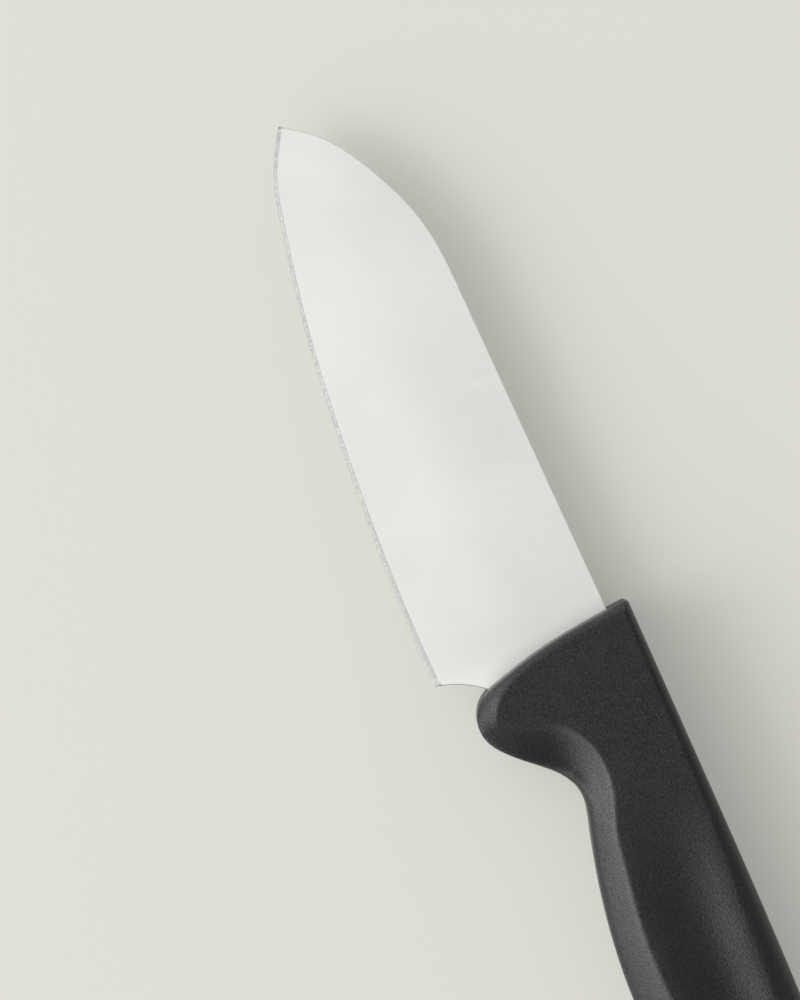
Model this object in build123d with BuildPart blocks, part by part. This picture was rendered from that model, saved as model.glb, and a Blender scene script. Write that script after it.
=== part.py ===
from build123d import *
import os
from math import hypot, sqrt

# A paring knife lying on its side. All lengths are in millimetres.
# +X runs from the handle to the point, +Y towards the cutting edge and +Z up.
# The origin is under the middle of the whole knife, on the surface that it lies on.

# Blade: its outline, from the front corner of the handle to the point
blade_length = 90.0
blade_depth = 29.6
blade_stock = 1.6
drop_length = 33.0
tip_depth = 15.2
heel_setback = 0.3
notch_radius = 15.5

# Blade: the ground faces and the bevel of the cutting edge
grind_depth = 16.5
tip_grind_depth = 8.6
edge_stock = 0.36
bevel_width = 0.58
heel_bevel_width = 0.95

# Blade: the root in the mouth of the handle, and the tang behind it
root_length = 9.0
root_depth = 18.6
tang_end_cover = 35.0
tang_middle_depth = 9.2
tang_root_width = 11.0
tang_end_width = 8.0
tang_corner_radius = 1.6
tang_end_radius = 3.2
key_hole_diameter = 5.5
first_key_hole_back = 24.0
last_key_hole_margin = 12.0
key_hole_count = 3

# Handle: depths are measured from its spine line at the front corner
handle_length = 115.0
handle_thickness = 15.0
spine_cover = 3.5
spine_fall = 2.3
spine_end_length = 10.0
guard_back = 9.4
guard_depth = 29.55
waist_back = 25.5
waist_depth = 19.15
palm_depth = 25.3
neck_depth = 24.2
butt_length = 7.5
butt_depth = 26.4

# Handle: how far its flat sides stop short of the outline
front_rim = 1.4
front_spine_round = 1.5
palm_spine_round = 4.0
nose_round = 3.0
facet_width = 5.8
butt_round = 4.4

# Handle: the shallow hollow in each side
hollow_start_back = 29.0
hollow_end_length = 10.0
hollow_side_margin = 1.5
hollow_depth = 1.35

# Cuts run this far past what they cut
overrun = 6.0

# Outline of the dropped point: shares of the length left past the straight spine, and of the tip's depth
drop_shares = ((0.36, 0.088), (0.54, 0.23), (0.74, 0.448), (0.89, 0.70), (1.0, 1.0))

# Outline of the cutting edge: shares of the blade's length, and of the rise from the heel to the tip
edge_shares = ((0.144, 0.017), (0.42, 0.151), (0.70, 0.387), (0.84, 0.575), (0.93, 0.745), (1.0, 1.0))
edge_overrun_share = 1.035
edge_overrun_rise_share = 1.21
heel_bevel_share = 0.42

# The grind's shoulder: shares of the blade's length, and of the drop from its heel depth to its tip depth
shoulder_shares = ((0.36, 0.04), (0.69, 0.23), (0.84, 0.50), (1.0, 1.0))

# Outline of the handle's front: shares of the guard's setback and depth, of the rounding's growth
# and of the turn from a rounded side to a faceted one
front_shares = ((0.09, 0.35, 0, 0), (0.21, 0.605, 0, 0), (0.36, 0.80, 0.3, 0.5), (0.52, 0.925, 0.95, 1))

# Sweep from the guard's nose to the waist: shares of the way back and of the way up, of the facet's
# width and of its steepness
guard_steep_share = 0.45
sweep_shares = ((0.39, 0.362, 1.0, 0.5), (0.585, 0.672, 1.24, 0.7), (0.78, 0.912, 1.08, 1))
waist_facet_share = 0.83
waist_scoop_share = 0.4

# Palm and neck: shares of the way back from the waist to the lowest point of the butt
palm_share = 0.457
neck_share = 0.787

# Swell from the waist to the palm: shares of the way back, of the way down and of the facet's width
swell_shares = ((0.12, 0.154, 0.69), (0.29, 0.45, 0.755), (0.55, 0.79, 0.84))

# Spine of the handle, butt first: shares of the way back, of the fall and of its rounding's growth
spine_shares = ((0.60, 0.43, 1.0), (0.28, 0.15, 0.2))

# Round of the butt, belly first: shares of the way from the spine's end to the handle's end, and of the rise
butt_shares = ((0.80, 0.16), (1.0, 0.50), (0.78, 0.84))

# Heights above the middle of the handle at which it is lofted
level_shares = (0.0, 0.40, 0.68, 0.84, 0.93, 0.98, 1.0)

# Sections of its facet, and of its scoop behind the guard: shares of the way in and of the fall
facet_shares = ((0.0, 1.0), (0.03, 0.859), (0.35, 0.458), (0.62, 0.229), (0.80, 0.10), (0.93, 0.03), (1.0, 0.0))
scoop_shares = ((0.0, 0.75), (0.06, 0.40), (0.30, 0.32), (0.55, 0.24), (0.78, 0.13), (0.96, 0.02), (1.0, 0.0))

# Places that follow from the sizes
front_x = handle_length - (blade_length + handle_length) / 2
blade_spine_y = (spine_cover - blade_depth) / 2
handle_spine_y = blade_spine_y - spine_cover
middle_z = handle_thickness / 2
straight_spine = blade_length - drop_length
tang_length = handle_length - tang_end_cover
key_hole_pitch = (tang_length - first_key_hole_back - last_key_hole_margin) / (key_hole_count - 1)
spine_end_back = handle_length - spine_end_length
butt_back = handle_length - butt_length
palm_back = waist_back + palm_share * (butt_back - waist_back)
neck_back = waist_back + neck_share * (butt_back - waist_back)
palm_spine_fall = spine_fall * spine_shares[0][1]
backwards = (-1, 0)
forwards = (1, 0)


def direction(start, end):
    """Direction from one point to another."""
    return (end[0] - start[0], end[1] - start[1])


def smooth_line(points, first_way, last_way):
    """Smooth curve through points, with the directions that it starts and ends in."""
    return Spline(points, tangents=[first_way, last_way], tangent_scalars=[1, 1])


def blade_point(forward, depth):
    """Place on the blade, by how far it is ahead of the handle's front corner and below the spine."""
    return (front_x + forward, blade_spine_y + depth)


def edge_line(lift):
    """Line of the cutting edge from the heel past the tip, raised by the bevel's width times lift."""
    points = [blade_point(0, blade_depth - heel_bevel_width * lift)]
    rise = blade_depth - tip_depth
    for along, up in edge_shares + ((edge_overrun_share, edge_overrun_rise_share),):
        widening = max(0, 1 - along / heel_bevel_share)
        width = bevel_width + (heel_bevel_width - bevel_width) * widening
        points.append(blade_point(along * blade_length, blade_depth - up * rise - width * lift))
    return points


def shoulder_line():
    """Line where the flat of the blade turns into the ground face."""
    points = [blade_point(0, grind_depth)]
    for along, up in shoulder_shares:
        depth = grind_depth - up * (grind_depth - tip_grind_depth)
        points.append(blade_point(along * blade_length, depth))
    beyond = blade_length * edge_overrun_share
    points.append(blade_point(beyond, tip_grind_depth))
    return points


def blank_level(height, line):
    """Section of the ground bar at a height: full stock above the line, nothing below it."""
    with BuildSketch(Plane.XY.offset(middle_z + height)) as section:
        with BuildLine():
            lower = smooth_line(line, forwards, direction(line[-2], line[-1]))
            heel_y = line[0][1]
            back_x = front_x - tang_length - overrun
            top_y = blade_spine_y - overrun
            ahead_x = front_x + blade_length * edge_overrun_share
            Polyline(lower @ 0, (back_x, heel_y), (back_x, top_y), (ahead_x, top_y), lower @ 1)
        make_face()
    return section.sketch


# Blade: a bar with its ground faces and bevels, cut to the outline of blade, root and tang
with BuildPart() as blade:
    half_stock = blade_stock / 2
    half_edge = edge_stock / 2
    loft(
        sections=[
            blank_level(-half_stock, shoulder_line()),
            blank_level(-half_edge, edge_line(1)),
            blank_level(0, edge_line(0)),
            blank_level(half_edge, edge_line(1)),
            blank_level(half_stock, shoulder_line()),
        ],
        ruled=True,
    )
    with BuildSketch(Plane.XY.offset(middle_z)) as outline:
        with BuildLine():
            drop_points = [blade_point(straight_spine, 0)]
            for along, down in drop_shares:
                forward = straight_spine + along * (blade_length - straight_spine)
                drop_points.append(blade_point(forward, down * tip_depth))
            drop = smooth_line(drop_points, forwards, direction(drop_points[-2], drop_points[-1]))
            past_tip = drop @ 1 + (drop % 1) * overrun
            heel = blade_point(-heel_setback, blade_depth)
            below_heel = blade_point(-heel_setback, blade_depth + overrun)
            notch_end = blade_point(-root_length, root_depth)
            Polyline(drop @ 1, past_tip, (past_tip.X, below_heel[1]), below_heel, heel)
            RadiusArc(heel, notch_end, notch_radius)
            Polyline(
                notch_end,
                blade_point(-root_length, tang_middle_depth + tang_root_width / 2),
                blade_point(-tang_length, tang_middle_depth + tang_end_width / 2),
                blade_point(-tang_length, tang_middle_depth - tang_end_width / 2),
                blade_point(-root_length, tang_middle_depth - tang_root_width / 2),
                blade_point(-root_length, 0),
                drop @ 0,
            )
        make_face()
        tang_end_corners = outline.vertices().sort_by(Axis.X)[:2]
        fillet(tang_end_corners, radius=tang_end_radius)
        root_corners = outline.vertices().sort_by(Axis.X)[4:8]
        inner_corners = root_corners.sort_by(Axis.Y)[1:3]
        fillet(inner_corners, radius=tang_corner_radius)
        for number in range(key_hole_count):
            with Locations(blade_point(-first_key_hole_back - number * key_hole_pitch, tang_middle_depth)):
                Circle(radius=key_hole_diameter / 2, mode=Mode.SUBTRACT)
    extrude(amount=blade_stock, both=True, mode=Mode.INTERSECT)
blade.part.label = "blade"


def widest_outline():
    """The handle's widest outline in four stretches of points: back, depth, inset, fall, facet and scoop."""
    front = [(0, 0, front_rim, front_rim, 0, 0)]
    for back, down, growth, facet in front_shares:
        inset = front_rim + growth * (nose_round - front_rim)
        front.append((back * guard_back, down * guard_depth, inset, inset, facet, 0))
    belly = [(guard_back, guard_depth, nose_round, nose_round * guard_steep_share, 1, 0)]
    for back, up, width, steep in sweep_shares:
        place = guard_back + back * (waist_back - guard_back)
        depth = guard_depth - up * (guard_depth - waist_depth)
        inset = width * facet_width
        belly.append((place, depth, inset, inset * steep, 1, 1))
    inset = waist_facet_share * facet_width
    belly.append((waist_back, waist_depth, inset, inset, 1, waist_scoop_share))
    for back, down, width in swell_shares:
        place = waist_back + back * (palm_back - waist_back)
        depth = waist_depth + down * (palm_depth - waist_depth)
        inset = width * facet_width
        belly.append((place, depth, inset, inset, 1, 0))
    belly.append((palm_back, palm_depth, facet_width, facet_width, 1, 0))
    belly.append((neck_back, neck_depth, facet_width, facet_width, 1, 0))
    butt = [(butt_back, butt_depth, butt_round, butt_round, 0, 0)]
    for back, up in butt_shares:
        place = spine_end_back + back * (handle_length - spine_end_back)
        butt.append((place, butt_depth - up * (butt_depth - spine_fall), butt_round, butt_round, 0, 0))
    spine = [(spine_end_back, spine_fall, butt_round, butt_round, 0, 0)]
    for back, down, growth in spine_shares:
        inset = front_spine_round + growth * (palm_spine_round - front_spine_round)
        spine.append((back * spine_end_back, down * spine_fall, inset, inset, 0, 0))
    return front, belly, butt, spine


def share_on(section, fall):
    """How far in a section has come at a fall below the flat, both as shares."""
    fall = min(fall, section[0][1])
    for (outer_share, outer_fall), (inner_share, inner_fall) in zip(section, section[1:]):
        if fall >= inner_fall:
            part = (fall - inner_fall) / (outer_fall - inner_fall)
            return inner_share + part * (outer_share - inner_share)


def side_share(fall, facet, scoop):
    """How far in a side has come at a fall, where it may be rounded, faceted, scooped or in between."""
    rounded = 1 - sqrt(1 - (1 - min(fall, 1)) ** 2)
    faceted = share_on(facet_shares, fall)
    scooped = share_on(scoop_shares, fall)
    return rounded + facet * (faceted + scoop * (scooped - faceted) - rounded)


def outline_at(below):
    """The four stretches at a depth below the flat side, each point moved in square to the outline."""
    stretches = widest_outline()
    ring = [point for stretch in stretches for point in stretch]
    places = []
    for number, (back, depth, inset, full_fall, facet, scoop) in enumerate(ring):
        share = side_share(below / full_fall, facet, scoop)
        before, after = ring[number - 1], ring[(number + 1) % len(ring)]
        run, rise = direction(before, after)
        inward = (rise / hypot(run, rise) * inset, -run / hypot(run, rise) * inset)
        if number == 0:
            inward = (front_rim, front_spine_round)
        places.append((front_x - back - inward[0] * share, handle_spine_y + depth + inward[1] * share))
    outline = []
    first = 0
    for stretch in stretches:
        last = first + len(stretch)
        outline.append(places[first:last] + [places[last % len(places)]])
        first = last
    return outline


# Handle: one moulding round the tang, lofted through its outlines from one flat side to the other
with BuildPart() as handle:
    top_level = len(level_shares) - 1
    for step in range(-top_level, top_level + 1):
        rise = level_shares[abs(step)] * handle_thickness / 2
        height = rise if step > 0 else -rise
        front, belly, butt, spine = outline_at(handle_thickness / 2 - rise)
        across_front = direction(front[0], front[1])
        along_spine = direction(spine[-2], spine[-1])
        with BuildSketch(Plane.XY.offset(middle_z + height)):
            with BuildLine():
                smooth_line(front, across_front, backwards)
                smooth_line(belly, backwards, backwards)
                smooth_line(butt, backwards, forwards)
                smooth_line(spine, forwards, along_spine)
            make_face()
    loft(ruled=True)

    # A shallow dish, long and narrow, in the middle of each flat side
    flat_top = palm_spine_fall + palm_spine_round
    flat_bottom = palm_depth - facet_width
    hollow_width = flat_bottom - flat_top - 2 * hollow_side_margin
    hollow_length = handle_length - hollow_start_back - hollow_end_length
    across = (hollow_width ** 2 / 4 + hollow_depth ** 2) / (2 * hollow_depth)
    lengthwise = (hollow_length ** 2 / 4 + hollow_depth ** 2) / (2 * hollow_depth)
    hollow_x = front_x - hollow_start_back - hollow_length / 2
    hollow_y = handle_spine_y + (flat_top + flat_bottom) / 2
    for side in (-1, 1):
        dish_z = middle_z + side * (handle_thickness / 2 - hollow_depth + lengthwise)
        with Locations((hollow_x, hollow_y, dish_z)):
            Torus(lengthwise - across, across, rotation=(90, 0, 0), mode=Mode.SUBTRACT)

    # The moulding closes on the steel of the root and the tang, and fills its holes
    add(blade.part, mode=Mode.SUBTRACT)
handle.part.label = "handle"

os.makedirs("parts", exist_ok=True)
export_step(blade.part, "parts/blade.step")
export_step(handle.part, "parts/handle.step")
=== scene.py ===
"""The looks of a paring knife that lies on its side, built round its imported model."""

from math import cos, pi, radians, sin, tan

import bpy
import numpy as np
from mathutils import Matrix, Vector
from mathutils.geometry import delaunay_2d_cdt


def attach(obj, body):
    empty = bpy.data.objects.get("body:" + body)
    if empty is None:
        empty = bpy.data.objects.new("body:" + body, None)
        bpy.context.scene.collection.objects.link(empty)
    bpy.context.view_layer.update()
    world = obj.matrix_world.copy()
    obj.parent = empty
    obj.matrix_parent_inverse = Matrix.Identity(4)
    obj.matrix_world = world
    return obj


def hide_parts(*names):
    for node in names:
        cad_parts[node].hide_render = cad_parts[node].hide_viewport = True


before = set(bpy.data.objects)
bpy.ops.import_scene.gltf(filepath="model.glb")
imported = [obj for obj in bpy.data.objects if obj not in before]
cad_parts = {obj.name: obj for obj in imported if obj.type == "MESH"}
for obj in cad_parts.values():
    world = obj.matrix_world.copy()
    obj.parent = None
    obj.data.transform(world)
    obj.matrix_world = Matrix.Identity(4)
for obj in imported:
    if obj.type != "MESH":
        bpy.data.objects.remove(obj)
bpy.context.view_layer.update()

mm = 0.001
degree = radians(1)

# Sizes that the solids share, in metres
blade_length = 90.0 * mm
blade_depth = 29.6 * mm
blade_stock = 1.6 * mm
drop_length = 33.0 * mm
tip_depth = 15.2 * mm
heel_setback = 0.3 * mm
notch_radius = 15.5 * mm
grind_depth = 16.5 * mm
tip_grind_depth = 8.6 * mm
edge_stock = 0.36 * mm
bevel_width = 0.58 * mm
heel_bevel_width = 0.95 * mm
root_length = 9.0 * mm
root_depth = 18.6 * mm
tang_end_cover = 35.0 * mm
tang_middle_depth = 9.2 * mm
tang_root_width = 11.0 * mm
tang_end_width = 8.0 * mm
key_hole_radius = 2.75 * mm
first_key_hole_back = 24.0 * mm
last_key_hole_margin = 12.0 * mm
key_hole_count = 3
handle_length = 115.0 * mm
handle_thickness = 15.0 * mm
spine_cover = 3.5 * mm
spine_fall = 2.3 * mm
spine_end_length = 10.0 * mm
guard_back = 9.4 * mm
guard_depth = 29.55 * mm
waist_back = 25.5 * mm
waist_depth = 19.15 * mm
palm_depth = 25.3 * mm
neck_depth = 24.2 * mm
butt_length = 7.5 * mm
butt_depth = 26.4 * mm
front_rim = 1.4 * mm
front_spine_round = 1.5 * mm
palm_spine_round = 4.0 * mm
nose_round = 3.0 * mm
facet_width = 5.8 * mm
butt_round = 4.4 * mm

# Blade outlines as shares of those sizes: along, across
drop_shares = ((0.36, 0.088), (0.54, 0.23), (0.74, 0.448), (0.89, 0.70), (1.0, 1.0))
edge_shares = ((0.144, 0.017), (0.42, 0.151), (0.70, 0.387), (0.84, 0.575), (0.93, 0.745), (1.0, 1.0))
shoulder_shares = ((0.36, 0.04), (0.69, 0.23), (0.84, 0.50), (1.0, 1.0))
heel_bevel_share = 0.42

# Handle front: along, across, growth of the rounding, how far it is a facet
front_shares = ((0.09, 0.35, 0, 0), (0.21, 0.605, 0, 0), (0.36, 0.80, 0.3, 0.2), (0.52, 0.925, 0.95, 0.6))

# Handle from guard to waist: along, across, facet's width, steepness, how far it is a scoop
sweep_shares = ((0.39, 0.362, 1.0, 0.35, 1), (0.585, 0.672, 1.24, 0.85, 1), (0.78, 0.912, 1.08, 1.2, 1))
guard_steep_share = 0.15
waist_facet_share = 0.83
waist_scoop_share = 0.4

# Handle from waist to palm: along, across, facet's width
swell_shares = ((0.12, 0.154, 0.69), (0.29, 0.45, 0.755), (0.55, 0.79, 0.84))
palm_share = 0.457
neck_share = 0.787

# Handle butt: along, across
butt_shares = ((0.80, 0.16), (1.0, 0.50), (0.78, 0.84))

# Handle spine: along, across, growth of the rounding, steepness
spine_shares = ((0.60, 0.43, 1.0, 1.0), (0.28, 0.15, 0.2, 1.4))
spine_steep_share = 1.8

# Sections of the handle's side: how far in, how far below the flat
facet_shares = (
    (0.0, 1.0), (0.03, 0.859), (0.35, 0.458), (0.62, 0.229), (0.80, 0.10), (0.93, 0.022), (1.0, 0.0),
)
scoop_shares = (
    (0.0, 0.75), (0.06, 0.34), (0.30, 0.29), (0.55, 0.232), (0.78, 0.135), (0.96, 0.018), (1.0, 0.0),
)

# Places that follow from the sizes
front_x = handle_length - (blade_length + handle_length) / 2
blade_spine_y = (spine_cover - blade_depth) / 2
handle_spine_y = blade_spine_y - spine_cover
middle_z = handle_thickness / 2
half_stock = blade_stock / 2
half_edge = edge_stock / 2
straight_spine = blade_length - drop_length
tang_length = handle_length - tang_end_cover
key_hole_pitch = (tang_length - first_key_hole_back - last_key_hole_margin) / (key_hole_count - 1)
spine_end_back = handle_length - spine_end_length
butt_back = handle_length - butt_length

# Fineness of curves and meshes
outline_step = 0.4 * mm
least_curve_pieces = 2
corner_step = 15 * degree
least_corner_points = 4
corner_clearance = 1.15
key_hole_sides = 24
blade_grid = 0.8 * mm
handle_grid = 0.9 * mm
grid_clearance = 0.6
keep_inner_faces = 1
merge_gap = 1e-6
profile_steps = 22
profile_step = 0.01
easing_steps = 7
cutting_blur = 3
corner_blur = 0.7 * mm
handle_corner_blur = 1.3 * mm

# Softer forms that only show close up
spine_easing = 0.1 * mm
deepest_easing = 0.7
tip_radius = 0.3 * mm
heel_radius = 0.55 * mm
tang_corner_radius = 1.6 * mm
tang_end_radius = 3.2 * mm
shoulder_blend = 2.6 * mm
bevel_line_width = 0.03 * mm
front_corner_radius = 0.7 * mm
parting_ridge = 0.04 * mm
parting_height = 0.22 * mm
hollow_depth = 1.28 * mm
hollow_start_back = 25.0 * mm
hollow_full_back = 54.0 * mm
hollow_fade_back = 84.0 * mm
hollow_end_back = 107.0 * mm
hollow_lean = 0.82
profile_end_slope = 0.06
crease_margin = 0.35 * mm
least_margin = 0.03 * mm

# What the meshes carry for their materials
# Less of the bevel's painted shade on its wide heel end and at the heel corner
heel_bevel_shine = 0.25
heel_shine = 0.35
# Painted shade: the ground face's colour is darkened towards black where it slopes more steeply, starting
# past the shoulder
ground_lag = 0.8
steepest_shaded_ground = 5.0
ground_shade_brightness = 0.91
# Painted light: the steel's colour is lifted towards white near the handle's front, where the handle shades
# it
painted_light_reach = 3.2 * mm
painted_light_lift = 0.85
crease_share = 0.15
crease_fade = 0.3

# Steel
grind_line_scale = (9000, 260, 9000)
grind_line_relief = 0.12
grind_line_roughness = 0.03
scratch_scale = (5200, 500, 5200)
steel_cloud_scale = 45.0
steel_colours = ((0.884, 0.893, 0.868, 1), (0.902, 0.908, 0.886, 1))
# Dark tones of the bevel: its honed scratches in two tones, darkened as painted shade
honed_and_shaded_colours = ((0.215, 0.222, 0.22, 1), (0.33, 0.337, 0.335, 1))
# Colour of the painted light on the steel by the handle's front
painted_light_colour = (0.99, 1.0, 0.965, 1)
black = (0, 0, 0, 1)
steel_roughness = (0.43, 0.47)
steel_relief = 0.01 * mm

# Plastic
grain_scale = 6600.0
pit_scale = 5000.0
mottle_scale = 3300.0
# Painted glints: lighter specks in the plastic's colour, their size and how many
speck_scale = 2100.0
speck_share = 0.22
plastic_cloud_scale = 70.0
plastic_colours = ((0.0068, 0.0064, 0.0074, 1), (0.0096, 0.0091, 0.0104, 1))
# Colour of the painted glints in the grain
glint_speck_colour = (0.032, 0.032, 0.036, 1)
sheen_colour = (0.98, 0.965, 1.0, 1)
plastic_roughness = (0.35, 0.39)
mottle_roughness = 0.05
crease_polish = 0.03
plastic_shine = (0.26, 0.60)
crease_shine = 0.10
plastic_relief = 0.07 * mm

# Parts of the noises' range that are stretched to a whole one
noise_core = (0.35, 0.65)
noise_body = (0.3, 0.7)

# Floor
floor_reach = 4.0
floor_colour = (0.652, 0.650, 0.602, 1)
floor_lift_share = 0.38

# Camera and light
picture_centre = (41.2 * mm, 9.25 * mm, 8.3 * mm)
camera_turn = -114.68 * degree
camera_height = 0.65
camera_lens = 149.2
sensor_width = 36.0
clip_start = 0.01
key_azimuth = -8 * degree
key_elevation = 36 * degree
key_distance = 1.3
key_width = 0.75
key_height = 0.65
key_radiance = 4.03
world_level = 0.37
left_light = 2.68
horizon_light = 0.24
lamp_colour = (1.0, 0.99, 0.975)


def blade_point(forward, depth):
    """Place on the blade, by how far it is ahead of the handle's front corner and below the spine."""
    return (front_x + forward, blade_spine_y + depth)


def handle_point(back, depth, *rest):
    """Place on the handle, by how far it is behind its front corner and below its spine line."""
    return (front_x - back, handle_spine_y + depth, *rest)


def unit(vectors):
    """The same directions at a length of one."""
    vectors = np.array(vectors, float)
    return vectors / np.linalg.norm(vectors, axis=-1, keepdims=True)


def smooth_line(points, first_way, last_way, step=outline_step):
    """Closely spaced places on the smooth curve through points, with the directions of its two ends.

    What the points hold behind their two coordinates follows the curve as smoothly."""
    points = np.array(points, float)
    chords = np.hypot(*np.diff(points[:, :2], axis=0).T)
    count = len(points)
    weights = np.zeros((count, count))
    slopes = np.zeros(points.shape)
    weights[0, 0] = weights[-1, -1] = 1
    for end, span, way in ((0, 0, first_way), (-1, -1, last_way)):
        slopes[end] = (points[1:] - points[:-1])[span] / chords[span]
        slopes[end, :2] = unit(way)
    for i in range(1, count - 1):
        before, after = chords[i - 1], chords[i]
        weights[i, i - 1:i + 2] = after, 2 * (before + after), before
        steps = after * (points[i] - points[i - 1]) / before + before * (points[i + 1] - points[i]) / after
        slopes[i] = 3 * steps
    slopes = np.linalg.solve(weights, slopes)
    places = []
    for i, chord in enumerate(chords):
        pieces = max(least_curve_pieces, round(chord / step))
        for t in np.arange(pieces) / pieces:
            start, end = points[i], points[i + 1]
            rise = t * t * (3 - 2 * t)
            leave = t * (1 - t) * (1 - t) * chord
            arrive = t * t * (t - 1) * chord
            places.append(start + rise * (end - start) + leave * slopes[i] + arrive * slopes[i + 1])
    return np.array(places + [points[-1]])


def straight_line(start, end, step=outline_step):
    """Evenly spaced places from one point to another."""
    start, end = np.array(start, float), np.array(end, float)
    pieces = max(1, round(np.linalg.norm(end - start) / step))
    return start + np.linspace(0, 1, pieces + 1)[:, None] * (end - start)


def arc_line(start, end, radius, step=outline_step):
    """Places on the arc of a radius from one point to another, bulging to the left of its way."""
    start, end = np.array(start, float), np.array(end, float)
    half = np.linalg.norm(end - start) / 2
    way = unit(end - start)
    left = np.array((-way[1], way[0]))
    centre = (start + end) / 2 - left * np.sqrt(radius ** 2 - half ** 2)
    reach = np.arcsin(half / radius)
    angles = np.linspace(-reach, reach, round(2 * reach * radius / step) + 1)[:, None]
    return centre + radius * (np.sin(angles) * way + np.cos(angles) * left)


def closed_outline(lines, radii):
    """Joins lines end to end into one closed outline, with each line's last corner rounded."""
    trimmed = [np.array(line) for line in lines]
    corners = []
    for number, radius in enumerate(radii):
        following = (number + 1) % len(lines)
        arc = np.empty((0, trimmed[number].shape[1]))
        if radius:
            before, after = trimmed[number], trimmed[following]
            corner = before[-1]
            way_in = unit(corner[:2] - before[-3, :2])
            way_out = unit(after[2, :2] - corner[:2])
            turn = np.arccos(np.clip(way_in @ way_out, -1, 1))
            reach = radius * tan(turn / 2)
            shares = np.linspace(0, 1, max(least_corner_points, round(turn / corner_step)))[:, None]
            legs = corner[:2] - way_in * reach, corner[:2] + way_out * reach
            bend = legs[0] * (1 - shares) ** 2 + 2 * corner[:2] * shares * (1 - shares)
            bend = bend + legs[1] * shares ** 2
            traits = np.maximum(corner[2:], after[0, 2:])
            arc = np.hstack((bend, np.repeat(traits[None, :], len(bend), axis=0)))
            cleared = reach * corner_clearance
            far_before = np.linalg.norm(before[:, :2] - corner[:2], axis=1) > cleared
            far_after = np.linalg.norm(after[:, :2] - corner[:2], axis=1) > cleared
            trimmed[number] = before[far_before]
            trimmed[following] = after[far_after]
        else:
            trimmed[number] = trimmed[number][:-1]
        corners.append(arc)
    pieces = [piece for pair in zip(trimmed, corners) for piece in pair]
    outline = np.vstack(pieces)
    x, y = outline[:, 0], outline[:, 1]
    area = np.sum(x * np.roll(y, -1) - y * np.roll(x, -1))
    return outline if area > 0 else outline[::-1]


def inward_ways(outline, blur):
    """Directions square to the outline towards its inside, eased over a length round its corners."""
    tangents = unit(np.roll(outline, -1, axis=0) - np.roll(outline, 1, axis=0))
    steps = np.linalg.norm(np.roll(outline, -1, axis=0) - outline, axis=1)
    places = np.concatenate(([0], np.cumsum(steps)[:-1]))
    gaps = np.abs(places[:, None] - places[None, :])
    gaps = np.minimum(gaps, steps.sum() - gaps)
    weights = np.exp(-(gaps / blur) ** 2 / 2) * (steps + np.roll(steps, 1))[None, :]
    eased = unit(weights @ tangents)
    return np.stack((-eased[:, 1], eased[:, 0]), axis=1)


def inside(points, outline):
    """Which points lie inside a closed outline, and how far each is from its nearest corner."""
    x, y = points[:, 0, None], points[:, 1, None]
    x0, y0 = outline[None, :, 0], outline[None, :, 1]
    x1, y1 = np.roll(x0, -1, axis=1), np.roll(y0, -1, axis=1)
    crosses = (y0 > y) != (y1 > y)
    run = np.where(y1 == y0, 1, y1 - y0)
    hits = crosses & (x < x0 + (y - y0) * (x1 - x0) / run)
    nearest = np.sqrt(((x - x0) ** 2 + (y - y0) ** 2).min(axis=1))
    return hits.sum(axis=1) % 2 == 1, nearest


def carry(mesh, trait, values):
    """Gives every point of a mesh one value, which its material reads by name."""
    layer = mesh.attributes.new(trait, "FLOAT", "POINT")
    layer.data.foreach_set("value", values.astype(np.float32))


def cap_mesh(edge, grid, grid_box, holes):
    """Fills the inside of an outline with triangles, save for round holes.

    Gives the places, which start with the outline's, the triangles and the rings of the holes."""
    hole_rings = []
    for centre, radius in holes:
        angles = np.linspace(0, 2 * pi, key_hole_sides, endpoint=False)
        hole_rings.append(centre + radius * np.stack((np.cos(angles), np.sin(angles)), axis=1))
    low, high = grid_box
    axes = [np.arange(low[i] + grid / 2, high[i], grid) for i in (0, 1)]
    lattice = np.stack(np.meshgrid(*axes), axis=-1).reshape(-1, 2)
    within, nearest = inside(lattice, edge)
    lattice = lattice[within & (nearest > grid * grid_clearance)]
    flat = np.vstack([edge, *hole_rings, lattice])
    constraints = []
    first = 0
    for ring in (edge, *hole_rings):
        constraints += [(first + i, first + (i + 1) % len(ring)) for i in range(len(ring))]
        first += len(ring)
    found = delaunay_2d_cdt([Vector(p) for p in flat / mm], constraints, [], keep_inner_faces, merge_gap)
    origins = [source[0] for source in found[3]]
    triangles = np.array([[origins[i] for i in face] for face in found[2]])
    for centre, radius in holes:
        centroids = flat[triangles].mean(axis=1)
        triangles = triangles[np.linalg.norm(centroids - centre, axis=1) > radius]
    return flat, triangles, hole_rings


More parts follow.
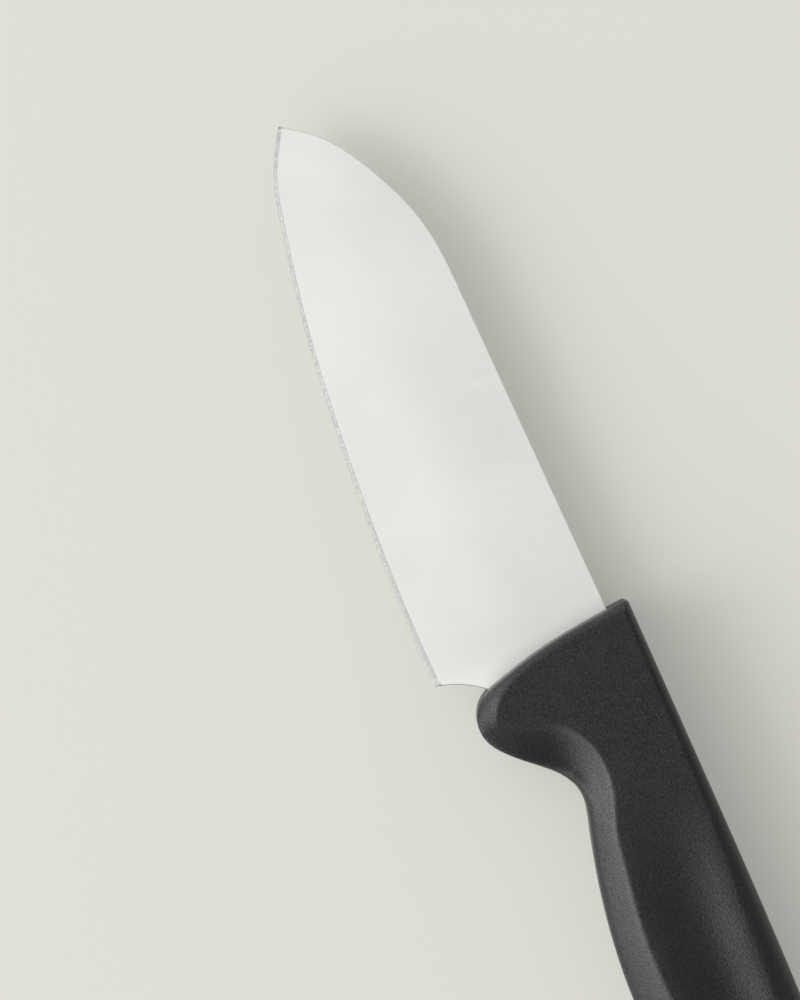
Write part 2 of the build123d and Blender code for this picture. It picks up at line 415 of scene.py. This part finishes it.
def two_sided(name, rings, cap_height, grid, grid_box, traits, holes=()):
    """A closed mesh, the same above and below its middle height.

    rings run from the outline at the middle height to the edge of the cap, where cap_height takes over.
    traits are the values that each ring point carries for the material, by name."""
    count = len(rings[0])
    flat, triangles, hole_rings = cap_mesh(rings[-1][:, :2], grid, grid_box, holes)
    cap = np.column_stack((flat[count:], cap_height(flat[count:])))
    half = np.vstack([*rings, cap])
    cap_start = (len(rings) - 1) * count
    lower = half[count:] * (1, 1, -1)
    points = np.vstack((half, lower))
    shift = len(half) - count
    faces = []
    for side in (0, 1):
        for k in range(len(rings) - 1):
            outer = k * count + (shift if side and k else 0)
            inner = (k + 1) * count + (shift if side else 0)
            for i in range(count):
                j = (i + 1) % count
                quad = (outer + i, outer + j, inner + j, inner + i)
                faces.append(quad[::-1] if side else quad)
        for triangle in triangles + cap_start + (shift if side else 0):
            faces.append(tuple(triangle[::-1]) if side else tuple(triangle))
    first = cap_start + count
    for ring in hole_rings:
        for i in range(len(ring)):
            j = (i + 1) % len(ring)
            faces.append((first + j, first + i, first + i + shift, first + j + shift))
        first += len(ring)

    points[:, 2] += middle_z
    mesh = bpy.data.meshes.new(name)
    mesh.from_pydata(points.tolist(), [], [[int(i) for i in face] for face in faces])
    mesh.validate()
    mesh.shade_smooth()
    for trait, by_ring in traits.items():
        values = np.concatenate([*by_ring, np.zeros(len(cap))])
        values = np.concatenate((values, values[count:]))
        carry(mesh, trait, values)
    piece = bpy.data.objects.new(name, mesh)
    bpy.context.scene.collection.objects.link(piece)
    return piece


def edge_line(lift):
    """Line of the cutting edge from the heel past the tip, raised by the bevel's width times lift."""
    points = [blade_point(0, blade_depth - heel_bevel_width * lift)]
    rise = blade_depth - tip_depth
    for along, up in edge_shares:
        widening = max(0, 1 - along / heel_bevel_share)
        width = bevel_width + (heel_bevel_width - bevel_width) * widening
        points.append(blade_point(along * blade_length, blade_depth - up * rise - width * lift))
    return smooth_line(points, (1, 0), np.subtract(points[-1], points[-2]))


def shoulder_line():
    """Line where the flat of the blade turns into the ground face."""
    points = [blade_point(0, grind_depth)]
    for along, up in shoulder_shares:
        depth = grind_depth - up * (grind_depth - tip_grind_depth)
        points.append(blade_point(along * blade_length, depth))
    return smooth_line(points, (1, 0), np.subtract(points[-1], points[-2]))


def ground_slope(x):
    """How steeply the ground face thins the blade, at places along it."""
    across = np.interp(x, *edge_line(1).T) - np.interp(x, *shoulder_line().T)
    return (half_stock - half_edge) / across


def past_shoulder(points):
    """How far places are past the shoulder of the grind, in lengths of its soft blend."""
    return (points[:, 1] - np.interp(points[:, 0], *shoulder_line().T)) / shoulder_blend


def blade_height(points):
    """Half of the blade's thickness at places on its face: flat, then ground past a soft shoulder."""
    past = past_shoulder(points)
    return half_stock - ground_slope(points[:, 0]) * shoulder_blend * np.logaddexp(0, past)


def ahead_of_handle(points):
    """How far places are ahead of the handle's front."""
    backs, downs = np.transpose([(0, 0), *(share[:2] for share in front_shares)])
    fronts = np.interp(points[:, 1] - handle_spine_y, downs * guard_depth, backs * guard_back)
    return points[:, 0] - front_x + fronts


def with_traits(line, *values):
    """A line whose places carry more values."""
    return np.column_stack((line, np.tile(values, (len(line), 1))))


def blade_outline():
    """Outline of blade, root and tang, with two values at each place.

    They are 1 along the cutting edge and 1 along the notch."""
    drop_points = [blade_point(straight_spine, 0)]
    for along, down in drop_shares:
        forward = straight_spine + along * (blade_length - straight_spine)
        drop_points.append(blade_point(forward, down * tip_depth))
    drop = smooth_line(drop_points, (1, 0), np.subtract(drop_points[-1], drop_points[-2]))
    heel = blade_point(-heel_setback, blade_depth)
    notch_end = blade_point(-root_length, root_depth)
    tang_corners = [
        notch_end,
        blade_point(-root_length, tang_middle_depth + tang_root_width / 2),
        blade_point(-tang_length, tang_middle_depth + tang_end_width / 2),
        blade_point(-tang_length, tang_middle_depth - tang_end_width / 2),
        blade_point(-root_length, tang_middle_depth - tang_root_width / 2),
        blade_point(-root_length, 0),
        drop_points[0],
    ]
    edge = np.vstack((edge_line(0)[::-1], [heel]))
    notch = arc_line(heel, notch_end, notch_radius)
    lines = [with_traits(drop, 0, 0), with_traits(edge, 1, 0), with_traits(notch, 0, 1)]
    for start, end in zip(tang_corners, tang_corners[1:]):
        lines.append(with_traits(straight_line(start, end), 0, 0))
    radii = (tip_radius, heel_radius, 0, tang_corner_radius, tang_end_radius, tang_end_radius,
             tang_corner_radius, 0, 0)
    return closed_outline(lines, radii)


def make_blade():
    """The steel: blade, root and holed tang in one piece, with its edges eased and its bevel ground."""
    outline = blade_outline()
    places, cutting, notch = outline[:, :2], outline[:, 2], outline[:, 3]
    ways = inward_ways(places, corner_blur)
    rounds = np.tile(cutting, 3)
    blur = np.ones(cutting_blur) / cutting_blur
    cutting = np.convolve(rounds, blur, "same")[len(cutting):2 * len(cutting)]
    forward = places[:, 0] - front_x
    widening = np.clip(1 - forward / (heel_bevel_share * blade_length), 0, 1)
    bevel = bevel_width + (heel_bevel_width - bevel_width) * widening
    inset = spine_easing + cutting * (bevel - spine_easing)
    cap_edge = places + ways * inset[:, None]
    full = blade_height(cap_edge)
    rings = [np.column_stack((places, np.zeros(len(places))))]
    for step in range(1, easing_steps + 1):
        turn = (step - 1) / (easing_steps - 1) * pi / 2
        blunt_in = 1 - cos(turn)
        blunt_up = 1 - np.minimum(spine_easing / full, deepest_easing) * (1 - sin(turn))
        sharp = step / easing_steps
        into = blunt_in + cutting * (sharp - blunt_in)
        up = blunt_up + cutting * (sharp - blunt_up)
        rings.append(np.column_stack((places + ways * (inset * into)[:, None], full * up)))
    beyond = places + ways * (inset + bevel_line_width)[:, None]
    rings.append(np.column_stack((beyond, blade_height(beyond))))
    # Painted shade along the bevel and as a thin dark line along the notch, eased off towards the heel
    honed_and_shaded = np.maximum(cutting * (1 - heel_bevel_shine * widening), notch)
    gap = np.linalg.norm(places - blade_point(-heel_setback, blade_depth), axis=1)
    honed_and_shaded = honed_and_shaded * (1 - heel_shine * np.exp(-(gap / heel_radius) ** 2))
    on_bevel = [honed_and_shaded] * (len(rings) - 1) + [np.zeros(len(places))]
    holes = []
    for number in range(key_hole_count):
        back = first_key_hole_back + number * key_hole_pitch
        holes.append((np.array(blade_point(-back, tang_middle_depth)), key_hole_radius))
    box = (blade_point(0, 0), blade_point(blade_length, blade_depth))
    piece = two_sided("blade_steel", rings, blade_height, blade_grid, box, {"bevel": on_bevel}, holes)
    places = np.array([vertex.co[:2] for vertex in piece.data.vertices])
    # Painted shade on the ground face, growing with the square of its slope
    slope = ground_slope(places[:, 0]) / ground_slope(np.array([front_x]))
    carry(piece.data, "ground", slope ** 2 / (1 + np.exp(ground_lag - past_shoulder(places))))
    # Painted light on the blade, strongest at the handle's front and fading ahead of it
    carry(piece.data, "painted_light_by_handle", np.exp(-(ahead_of_handle(places) / painted_light_reach) ** 2))
    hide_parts("blade")
    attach(piece, "root")
    return piece


def handle_outline():
    """The handle's widest outline, with four values at each place.

    They are the flat side's inset, the side's steepness, and 1 where it is a facet and where a scoop."""
    front = [handle_point(0, 0, front_rim, spine_steep_share, 0, 0)]
    for back, down, growth, facet in front_shares:
        inset = front_rim + growth * (nose_round - front_rim)
        front.append(handle_point(back * guard_back, down * guard_depth, inset, 1, facet, 0))
    belly = [handle_point(guard_back, guard_depth, nose_round, guard_steep_share, 1, 0)]
    for back, up, width, steep, scoop in sweep_shares:
        place = guard_back + back * (waist_back - guard_back)
        depth = guard_depth - up * (guard_depth - waist_depth)
        belly.append(handle_point(place, depth, width * facet_width, steep, 1, scoop))
    waist_facet = waist_facet_share * facet_width
    belly.append(handle_point(waist_back, waist_depth, waist_facet, 1, 1, waist_scoop_share))
    palm_back = waist_back + palm_share * (butt_back - waist_back)
    for back, down, width in swell_shares:
        place = waist_back + back * (palm_back - waist_back)
        depth = waist_depth + down * (palm_depth - waist_depth)
        belly.append(handle_point(place, depth, width * facet_width, 1, 1, 0))
    neck_back = waist_back + neck_share * (butt_back - waist_back)
    for back, depth in ((palm_back, palm_depth), (neck_back, neck_depth)):
        belly.append(handle_point(back, depth, facet_width, 1, 1, 0))
    butt = [handle_point(butt_back, butt_depth, butt_round, 1, 0, 0)]
    for back, up in butt_shares:
        place = spine_end_back + back * (handle_length - spine_end_back)
        depth = butt_depth - up * (butt_depth - spine_fall)
        butt.append(handle_point(place, depth, butt_round, 1, 0, 0))
    spine = [handle_point(spine_end_back, spine_fall, butt_round, 1, 0, 0)]
    for back, down, growth, steep in spine_shares:
        inset = front_spine_round + growth * (palm_spine_round - front_spine_round)
        spine.append(handle_point(back * spine_end_back, down * spine_fall, inset, steep, 0, 0))
    spine.append(handle_point(0, 0, front_spine_round, spine_steep_share, 0, 0))
    stretches = (front + belly[:1], belly + butt[:1], butt + spine[:1], spine)
    across_front = np.subtract(front[1], front[0])[:2]
    along_spine = np.subtract(spine[-1], spine[-2])[:2]
    ways = ((across_front, (-1, 0)), ((-1, 0), (-1, 0)), ((-1, 0), (1, 0)), ((1, 0), along_spine))
    lines = [smooth_line(points, *pair) for points, pair in zip(stretches, ways)]
    return closed_outline(lines, (0, 0, 0, front_corner_radius))


def side_profile(shares):
    """Section of a side, evenly spaced: how far in and how far below the flat, as shares of its inset."""
    curve = smooth_line(shares, (0, -1), (1, -profile_end_slope), profile_step)
    lengths = np.concatenate(([0], np.cumsum(np.linalg.norm(np.diff(curve, axis=0), axis=1))))
    wanted = np.linspace(0, lengths[-1], profile_steps)
    return np.column_stack([np.interp(wanted, lengths, curve[:, i]) for i in (0, 1)])


def make_handle():
    """The black moulding: rounded sides, a facet along the belly and a hollow in each flat side."""
    outline = handle_outline()
    places, inset = outline[:, :2], outline[:, 2]
    steep = np.maximum(outline[:, 3], guard_steep_share)
    facet, scoop = np.clip(outline[:, 4:].T, 0, 1)
    ways = inward_ways(places, handle_corner_blur)
    turns = np.linspace(0, pi / 2, profile_steps)
    plain = np.column_stack((1 - np.cos(turns), 1 - np.sin(turns)))
    rings = [np.column_stack((places, np.zeros(len(places))))]
    creased = [np.zeros(len(places))]
    for around, faceted, scooped in zip(plain, side_profile(facet_shares), side_profile(scoop_shares)):
        share, fall = (
            (1 - facet) * around[i] + facet * ((1 - scoop) * faceted[i] + scoop * scooped[i])
            for i in (0, 1)
        )
        into = parting_ridge + (inset - parting_ridge) * share
        up = np.maximum(middle_z - inset * steep * fall, parting_height)
        rings.append(np.column_stack((places + ways * into[:, None], up)))
        creased.append(facet * np.exp(-((1 - share) / crease_share) ** 2))
    ridge_foot = np.full(len(places), parting_height)
    rings.insert(1, np.column_stack((places + ways * parting_ridge, ridge_foot)))
    creased.insert(1, creased[0])
    cap_edge = rings[-1][:, :2]
    back = front_x - cap_edge[:, 0]
    depth = cap_edge[:, 1] - handle_spine_y
    branches = []
    for branch in (depth < waist_depth / 2, depth > waist_depth / 2):
        order = np.argsort(back[branch])
        branches.append((back[branch][order], depth[branch][order]))

    def handle_height(points):
        """Half of the handle's thickness at places on its flat side, less the hollow between its ridges."""
        backs = front_x - points[:, 0]
        crest, ridge = (np.interp(backs, *branch) for branch in branches)
        across = np.clip((points[:, 1] - handle_spine_y - crest) / (ridge - crest), 0, 1)
        shape = np.sin(pi * across ** hollow_lean) ** 2
        rise = np.clip((backs - hollow_start_back) / (hollow_full_back - hollow_start_back), 0, 1)
        fall = np.clip((hollow_end_back - backs) / (hollow_end_back - hollow_fade_back), 0, 1)
        along = (1 - np.cos(pi * rise)) * (1 - np.cos(pi * fall)) / 4
        return middle_z - hollow_depth * along * shape

    beyond = places + ways * (inset + least_margin + crease_margin * facet)[:, None]
    rings.append(np.column_stack((beyond, handle_height(beyond))))
    creased.append(facet * crease_fade)
    low = handle_point(handle_length, 0)
    high = handle_point(0, guard_depth)
    traits = {"crease": creased}
    piece = two_sided("handle_moulding", rings, handle_height, handle_grid, (low, high), traits)
    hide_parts("handle")
    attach(piece, "root")
    return piece


def link_or_set(tree, socket, value):
    """Feeds a socket from another node's output, or gives it a fixed value."""
    if isinstance(value, bpy.types.NodeSocket):
        tree.links.new(value, socket)
    else:
        socket.default_value = value


class Shading:
    """One new procedural material and its nodes."""

    def __init__(self, name):
        self.material = bpy.data.materials.new(name)
        self.material.use_nodes = True
        self.tree = self.material.node_tree
        self.shader = self.tree.nodes["Principled BSDF"]

    def add(self, kind, **inputs):
        """A new node's outputs, with its inputs fed by name."""
        node = self.tree.nodes.new("ShaderNode" + kind)
        for key, value in inputs.items():
            link_or_set(self.tree, node.inputs[key.replace("_", " ")], value)
        return node.outputs

    def math(self, operation, first, second, clamp=False):
        """Two values in one operation."""
        node = self.tree.nodes.new("ShaderNodeMath")
        node.operation = operation
        node.use_clamp = clamp
        link_or_set(self.tree, node.inputs[0], first)
        link_or_set(self.tree, node.inputs[1], second)
        return node.outputs["Value"]

    def ranged(self, value, low, high, start=0.0, end=1.0):
        """A value moved from the range start to end into the range low to high."""
        moved = self.add("MapRange", Value=value, From_Min=start, From_Max=end, To_Min=low, To_Max=high)
        return moved["Result"]

    def noise(self, place, scale, detail, roughness):
        """Cloudy noise at places of the piece."""
        return self.add("TexNoise", Vector=place, Scale=scale, Detail=detail, Roughness=roughness)["Fac"]

    def blend(self, share, low, high):
        """A colour between two others."""
        return self.add("MixRGB", Fac=share, Color1=low, Color2=high)["Color"]

    def carried(self, trait):
        """The value that the mesh carries by a name."""
        node = self.tree.nodes.new("ShaderNodeAttribute")
        node.attribute_name = trait
        return node.outputs["Fac"]

    def paint(self, **values):
        """Feeds the shader's own sockets by name."""
        for key, value in values.items():
            link_or_set(self.tree, self.shader.inputs[key.replace("_", " ")], value)


def steel_material():
    """Satin steel: fine grind lines across the blade, and coarser ones square to the edge on its bevel,
    with painted shade on the bevel, along the notch and on the steep ground face, and painted light by the
    handle.
    """
    steel = Shading("satin_steel")
    place = steel.add("TexCoord")["Object"]
    across = steel.add("Mapping", Vector=place, Scale=grind_line_scale)["Vector"]
    fine = steel.noise(across, scale=1.0, detail=3.0, roughness=0.6)
    scratched = steel.add("Mapping", Vector=place, Scale=scratch_scale)["Vector"]
    scratch = steel.noise(scratched, scale=1.0, detail=2.0, roughness=0.7)
    cloud = steel.noise(place, steel_cloud_scale, detail=3.0, roughness=0.5)
    bevel = steel.carried("bevel")
    relief = steel.ranged(fine, 0.0, grind_line_relief)
    lines = steel.add("Mix", Factor=bevel, A=relief, B=scratch)["Result"]
    bump = steel.add("Bump", Strength=0.25, Distance=steel_relief, Height=lines)["Normal"]
    tint = steel.blend(steel.ranged(cloud, 0.0, 1.0, *noise_core), *steel_colours)
    # Honed scratches in two tones, dark as painted shade
    honed_and_shaded = steel.blend(steel.ranged(scratch, 0.0, 1.0, *noise_core), *honed_and_shaded_colours)
    # Painted shade: the steel's colour is darkened towards black on the steeper ground face
    darkest = steepest_shaded_ground * (1 - ground_shade_brightness)
    ground = steel.ranged(steel.carried("ground"), 0.0, darkest, 0.0, steepest_shaded_ground)
    shaded_tint = steel.blend(ground, tint, black)
    # Painted light: the steel's colour is lifted towards white near the handle's front
    painted_light_by_handle = steel.ranged(steel.carried("painted_light_by_handle"), 0.0, painted_light_lift)
    brightened = steel.blend(painted_light_by_handle, shaded_tint, painted_light_colour)
    # The bevel and the notch's edge take the dark painted shade
    colour = steel.blend(bevel, brightened, honed_and_shaded)
    clouded = steel.ranged(cloud, *steel_roughness, *noise_body)
    lined = steel.ranged(fine, -grind_line_roughness, grind_line_roughness, *noise_body)
    rough = steel.math("ADD", clouded, lined)
    steel.paint(Base_Color=colour, Metallic=1.0, Roughness=rough, Normal=bump)
    return steel.material


def plastic_material():
    """Black moulded plastic with a fine spark-eroded grain and painted glints as lighter specks, rubbed
    smoother along the crease.
    """
    plastic = Shading("grained_black_plastic")
    place = plastic.add("TexCoord")["Object"]
    grain = plastic.noise(place, grain_scale, detail=2.0, roughness=0.6)
    pits = plastic.tree.nodes.new("ShaderNodeTexVoronoi")
    pits.feature = "SMOOTH_F1"
    plastic.tree.links.new(place, pits.inputs["Vector"])
    pits.inputs["Scale"].default_value = pit_scale
    surface = plastic.math("ADD", grain, pits.outputs["Distance"])
    bump = plastic.add("Bump", Strength=0.6, Distance=plastic_relief, Height=surface)["Normal"]
    cloud = plastic.noise(place, plastic_cloud_scale, detail=4.0, roughness=0.55)
    mottle = plastic.noise(place, mottle_scale, detail=3.0, roughness=0.7)
    crease = plastic.carried("crease")
    tint = plastic.blend(plastic.ranged(cloud, 0.0, 1.0, *noise_core), *plastic_colours)
    # Painted glints: lighter specks put into the plastic's colour
    speck = plastic.add("TexVoronoi", Vector=place, Scale=speck_scale)["Distance"]
    glint_specked = plastic.blend(plastic.ranged(speck, 1.0, 0.0, 0.0, speck_share), tint, glint_speck_colour)
    clouded = plastic.ranged(cloud, *plastic_roughness, *noise_body)
    polished = plastic.math("SUBTRACT", clouded, plastic.ranged(crease, 0.0, crease_polish))
    mottled = plastic.ranged(mottle, -mottle_roughness, mottle_roughness, *noise_core)
    rough = plastic.math("ADD", polished, mottled)
    glossed = plastic.ranged(mottle, *plastic_shine, *noise_core)
    shine = plastic.math("ADD", glossed, plastic.ranged(crease, 0.0, crease_shine))
    plastic.paint(Base_Color=glint_specked, Roughness=rough, Specular_IOR_Level=shine)
    plastic.paint(Specular_Tint=sheen_colour, Normal=bump)
    return plastic.material


def make_floor():
    """A plain pale floor, brightened a little where it is seen."""
    corners = [(-floor_reach, -floor_reach, 0), (floor_reach, -floor_reach, 0),
               (floor_reach, floor_reach, 0), (-floor_reach, floor_reach, 0)]
    mesh = bpy.data.meshes.new("floor")
    mesh.from_pydata(corners, [], [(0, 1, 2, 3)])
    floor = bpy.data.objects.new("floor", mesh)
    bpy.context.scene.collection.objects.link(floor)
    pale = Shading("pale_floor")
    pale.paint(Base_Color=floor_colour, Roughness=0.9, Specular_IOR_Level=0.2)
    rays = pale.add("LightPath")
    seen = pale.math("ADD", rays["Is Camera Ray"], rays["Is Glossy Ray"], clamp=True)
    seen = pale.math("ADD", seen, rays["Is Transmission Ray"], clamp=True)
    glow = pale.add("Emission", Color=floor_colour)["Emission"]
    lift = pale.add("MixShader", Fac=pale.ranged(seen, 0.0, floor_lift_share))["Shader"]
    pale.tree.links.new(pale.shader.outputs["BSDF"], lift.node.inputs[1])
    pale.tree.links.new(glow, lift.node.inputs[2])
    pale.tree.links.new(lift, pale.tree.nodes["Material Output"].inputs["Surface"])
    mesh.materials.append(pale.material)


def towards(azimuth, elevation):
    """Direction as the photograph shows it, turned from its left towards its top and then raised."""
    left = Vector((-cos(camera_turn), -sin(camera_turn), 0))
    top = Vector((-sin(camera_turn), cos(camera_turn), 0))
    level = left * cos(azimuth) + top * sin(azimuth)
    return level * cos(elevation) + Vector((0, 0, 1)) * sin(elevation)


def make_lamp(name, way, distance, width, height, radiance):
    """A soft box that faces the knife from a direction. Its radiance is how bright its own face is."""
    lamp = bpy.data.lights.new(name, "AREA")
    lamp.shape = "RECTANGLE"
    lamp.size, lamp.size_y = width, height
    lamp.energy = radiance * pi * width * height
    lamp.color = lamp_colour
    piece = bpy.data.objects.new(name, lamp)
    piece.location = Vector(picture_centre) + way * distance
    piece.rotation_euler = way.to_track_quat("Z", "Y").to_euler()
    piece.visible_camera = False
    bpy.context.scene.collection.objects.link(piece)


def make_world():
    """Soft light from all round, brighter towards the key lamp's side and towards the horizon."""
    world = bpy.data.worlds.new("studio")
    bpy.context.scene.world = world
    world.use_nodes = True
    tree = world.node_tree
    background = tree.nodes["Background"]
    place = tree.nodes.new("ShaderNodeTexCoord").outputs["Generated"]
    total = world_level
    straight_up = Vector((0, 0, 1))
    key_side = towards(key_azimuth, 0)
    sides = ((key_side, 0, 1, left_light), (straight_up, 1, 0, horizon_light))
    for way, start, end, strength in sides:
        dot = tree.nodes.new("ShaderNodeVectorMath")
        dot.operation = "DOT_PRODUCT"
        dot.inputs[1].default_value = way
        tree.links.new(place, dot.inputs[0])
        level = tree.nodes.new("ShaderNodeMapRange")
        level.inputs["From Min"].default_value = start
        level.inputs["From Max"].default_value = end
        level.inputs["To Max"].default_value = strength
        tree.links.new(dot.outputs["Value"], level.inputs["Value"])
        added = tree.nodes.new("ShaderNodeMath")
        tree.links.new(level.outputs["Result"], added.inputs[0])
        link_or_set(tree, added.inputs[1], total)
        total = added.outputs["Value"]
    tree.links.new(total, background.inputs["Strength"])
    background.inputs["Color"].default_value = (*lamp_colour, 1)


def make_camera():
    """The photograph's view: straight down, with the handle's end past the lower right corner."""
    data = bpy.data.cameras.new("camera")
    data.lens = camera_lens
    data.sensor_width = sensor_width
    data.clip_start = clip_start
    camera = bpy.data.objects.new("camera", data)
    camera.location = Vector(picture_centre) + Vector((0, 0, camera_height))
    camera.rotation_euler = (0, 0, camera_turn)
    bpy.context.scene.collection.objects.link(camera)
    bpy.context.scene.camera = camera


blade = make_blade()
blade.data.materials.append(steel_material())
handle = make_handle()
handle.data.materials.append(plastic_material())
make_floor()
make_world()
key_way = towards(key_azimuth, key_elevation)
make_lamp("key", key_way, key_distance, key_width, key_height, key_radiance)
make_camera()
bpy.context.scene.view_settings.view_transform = "Standard"
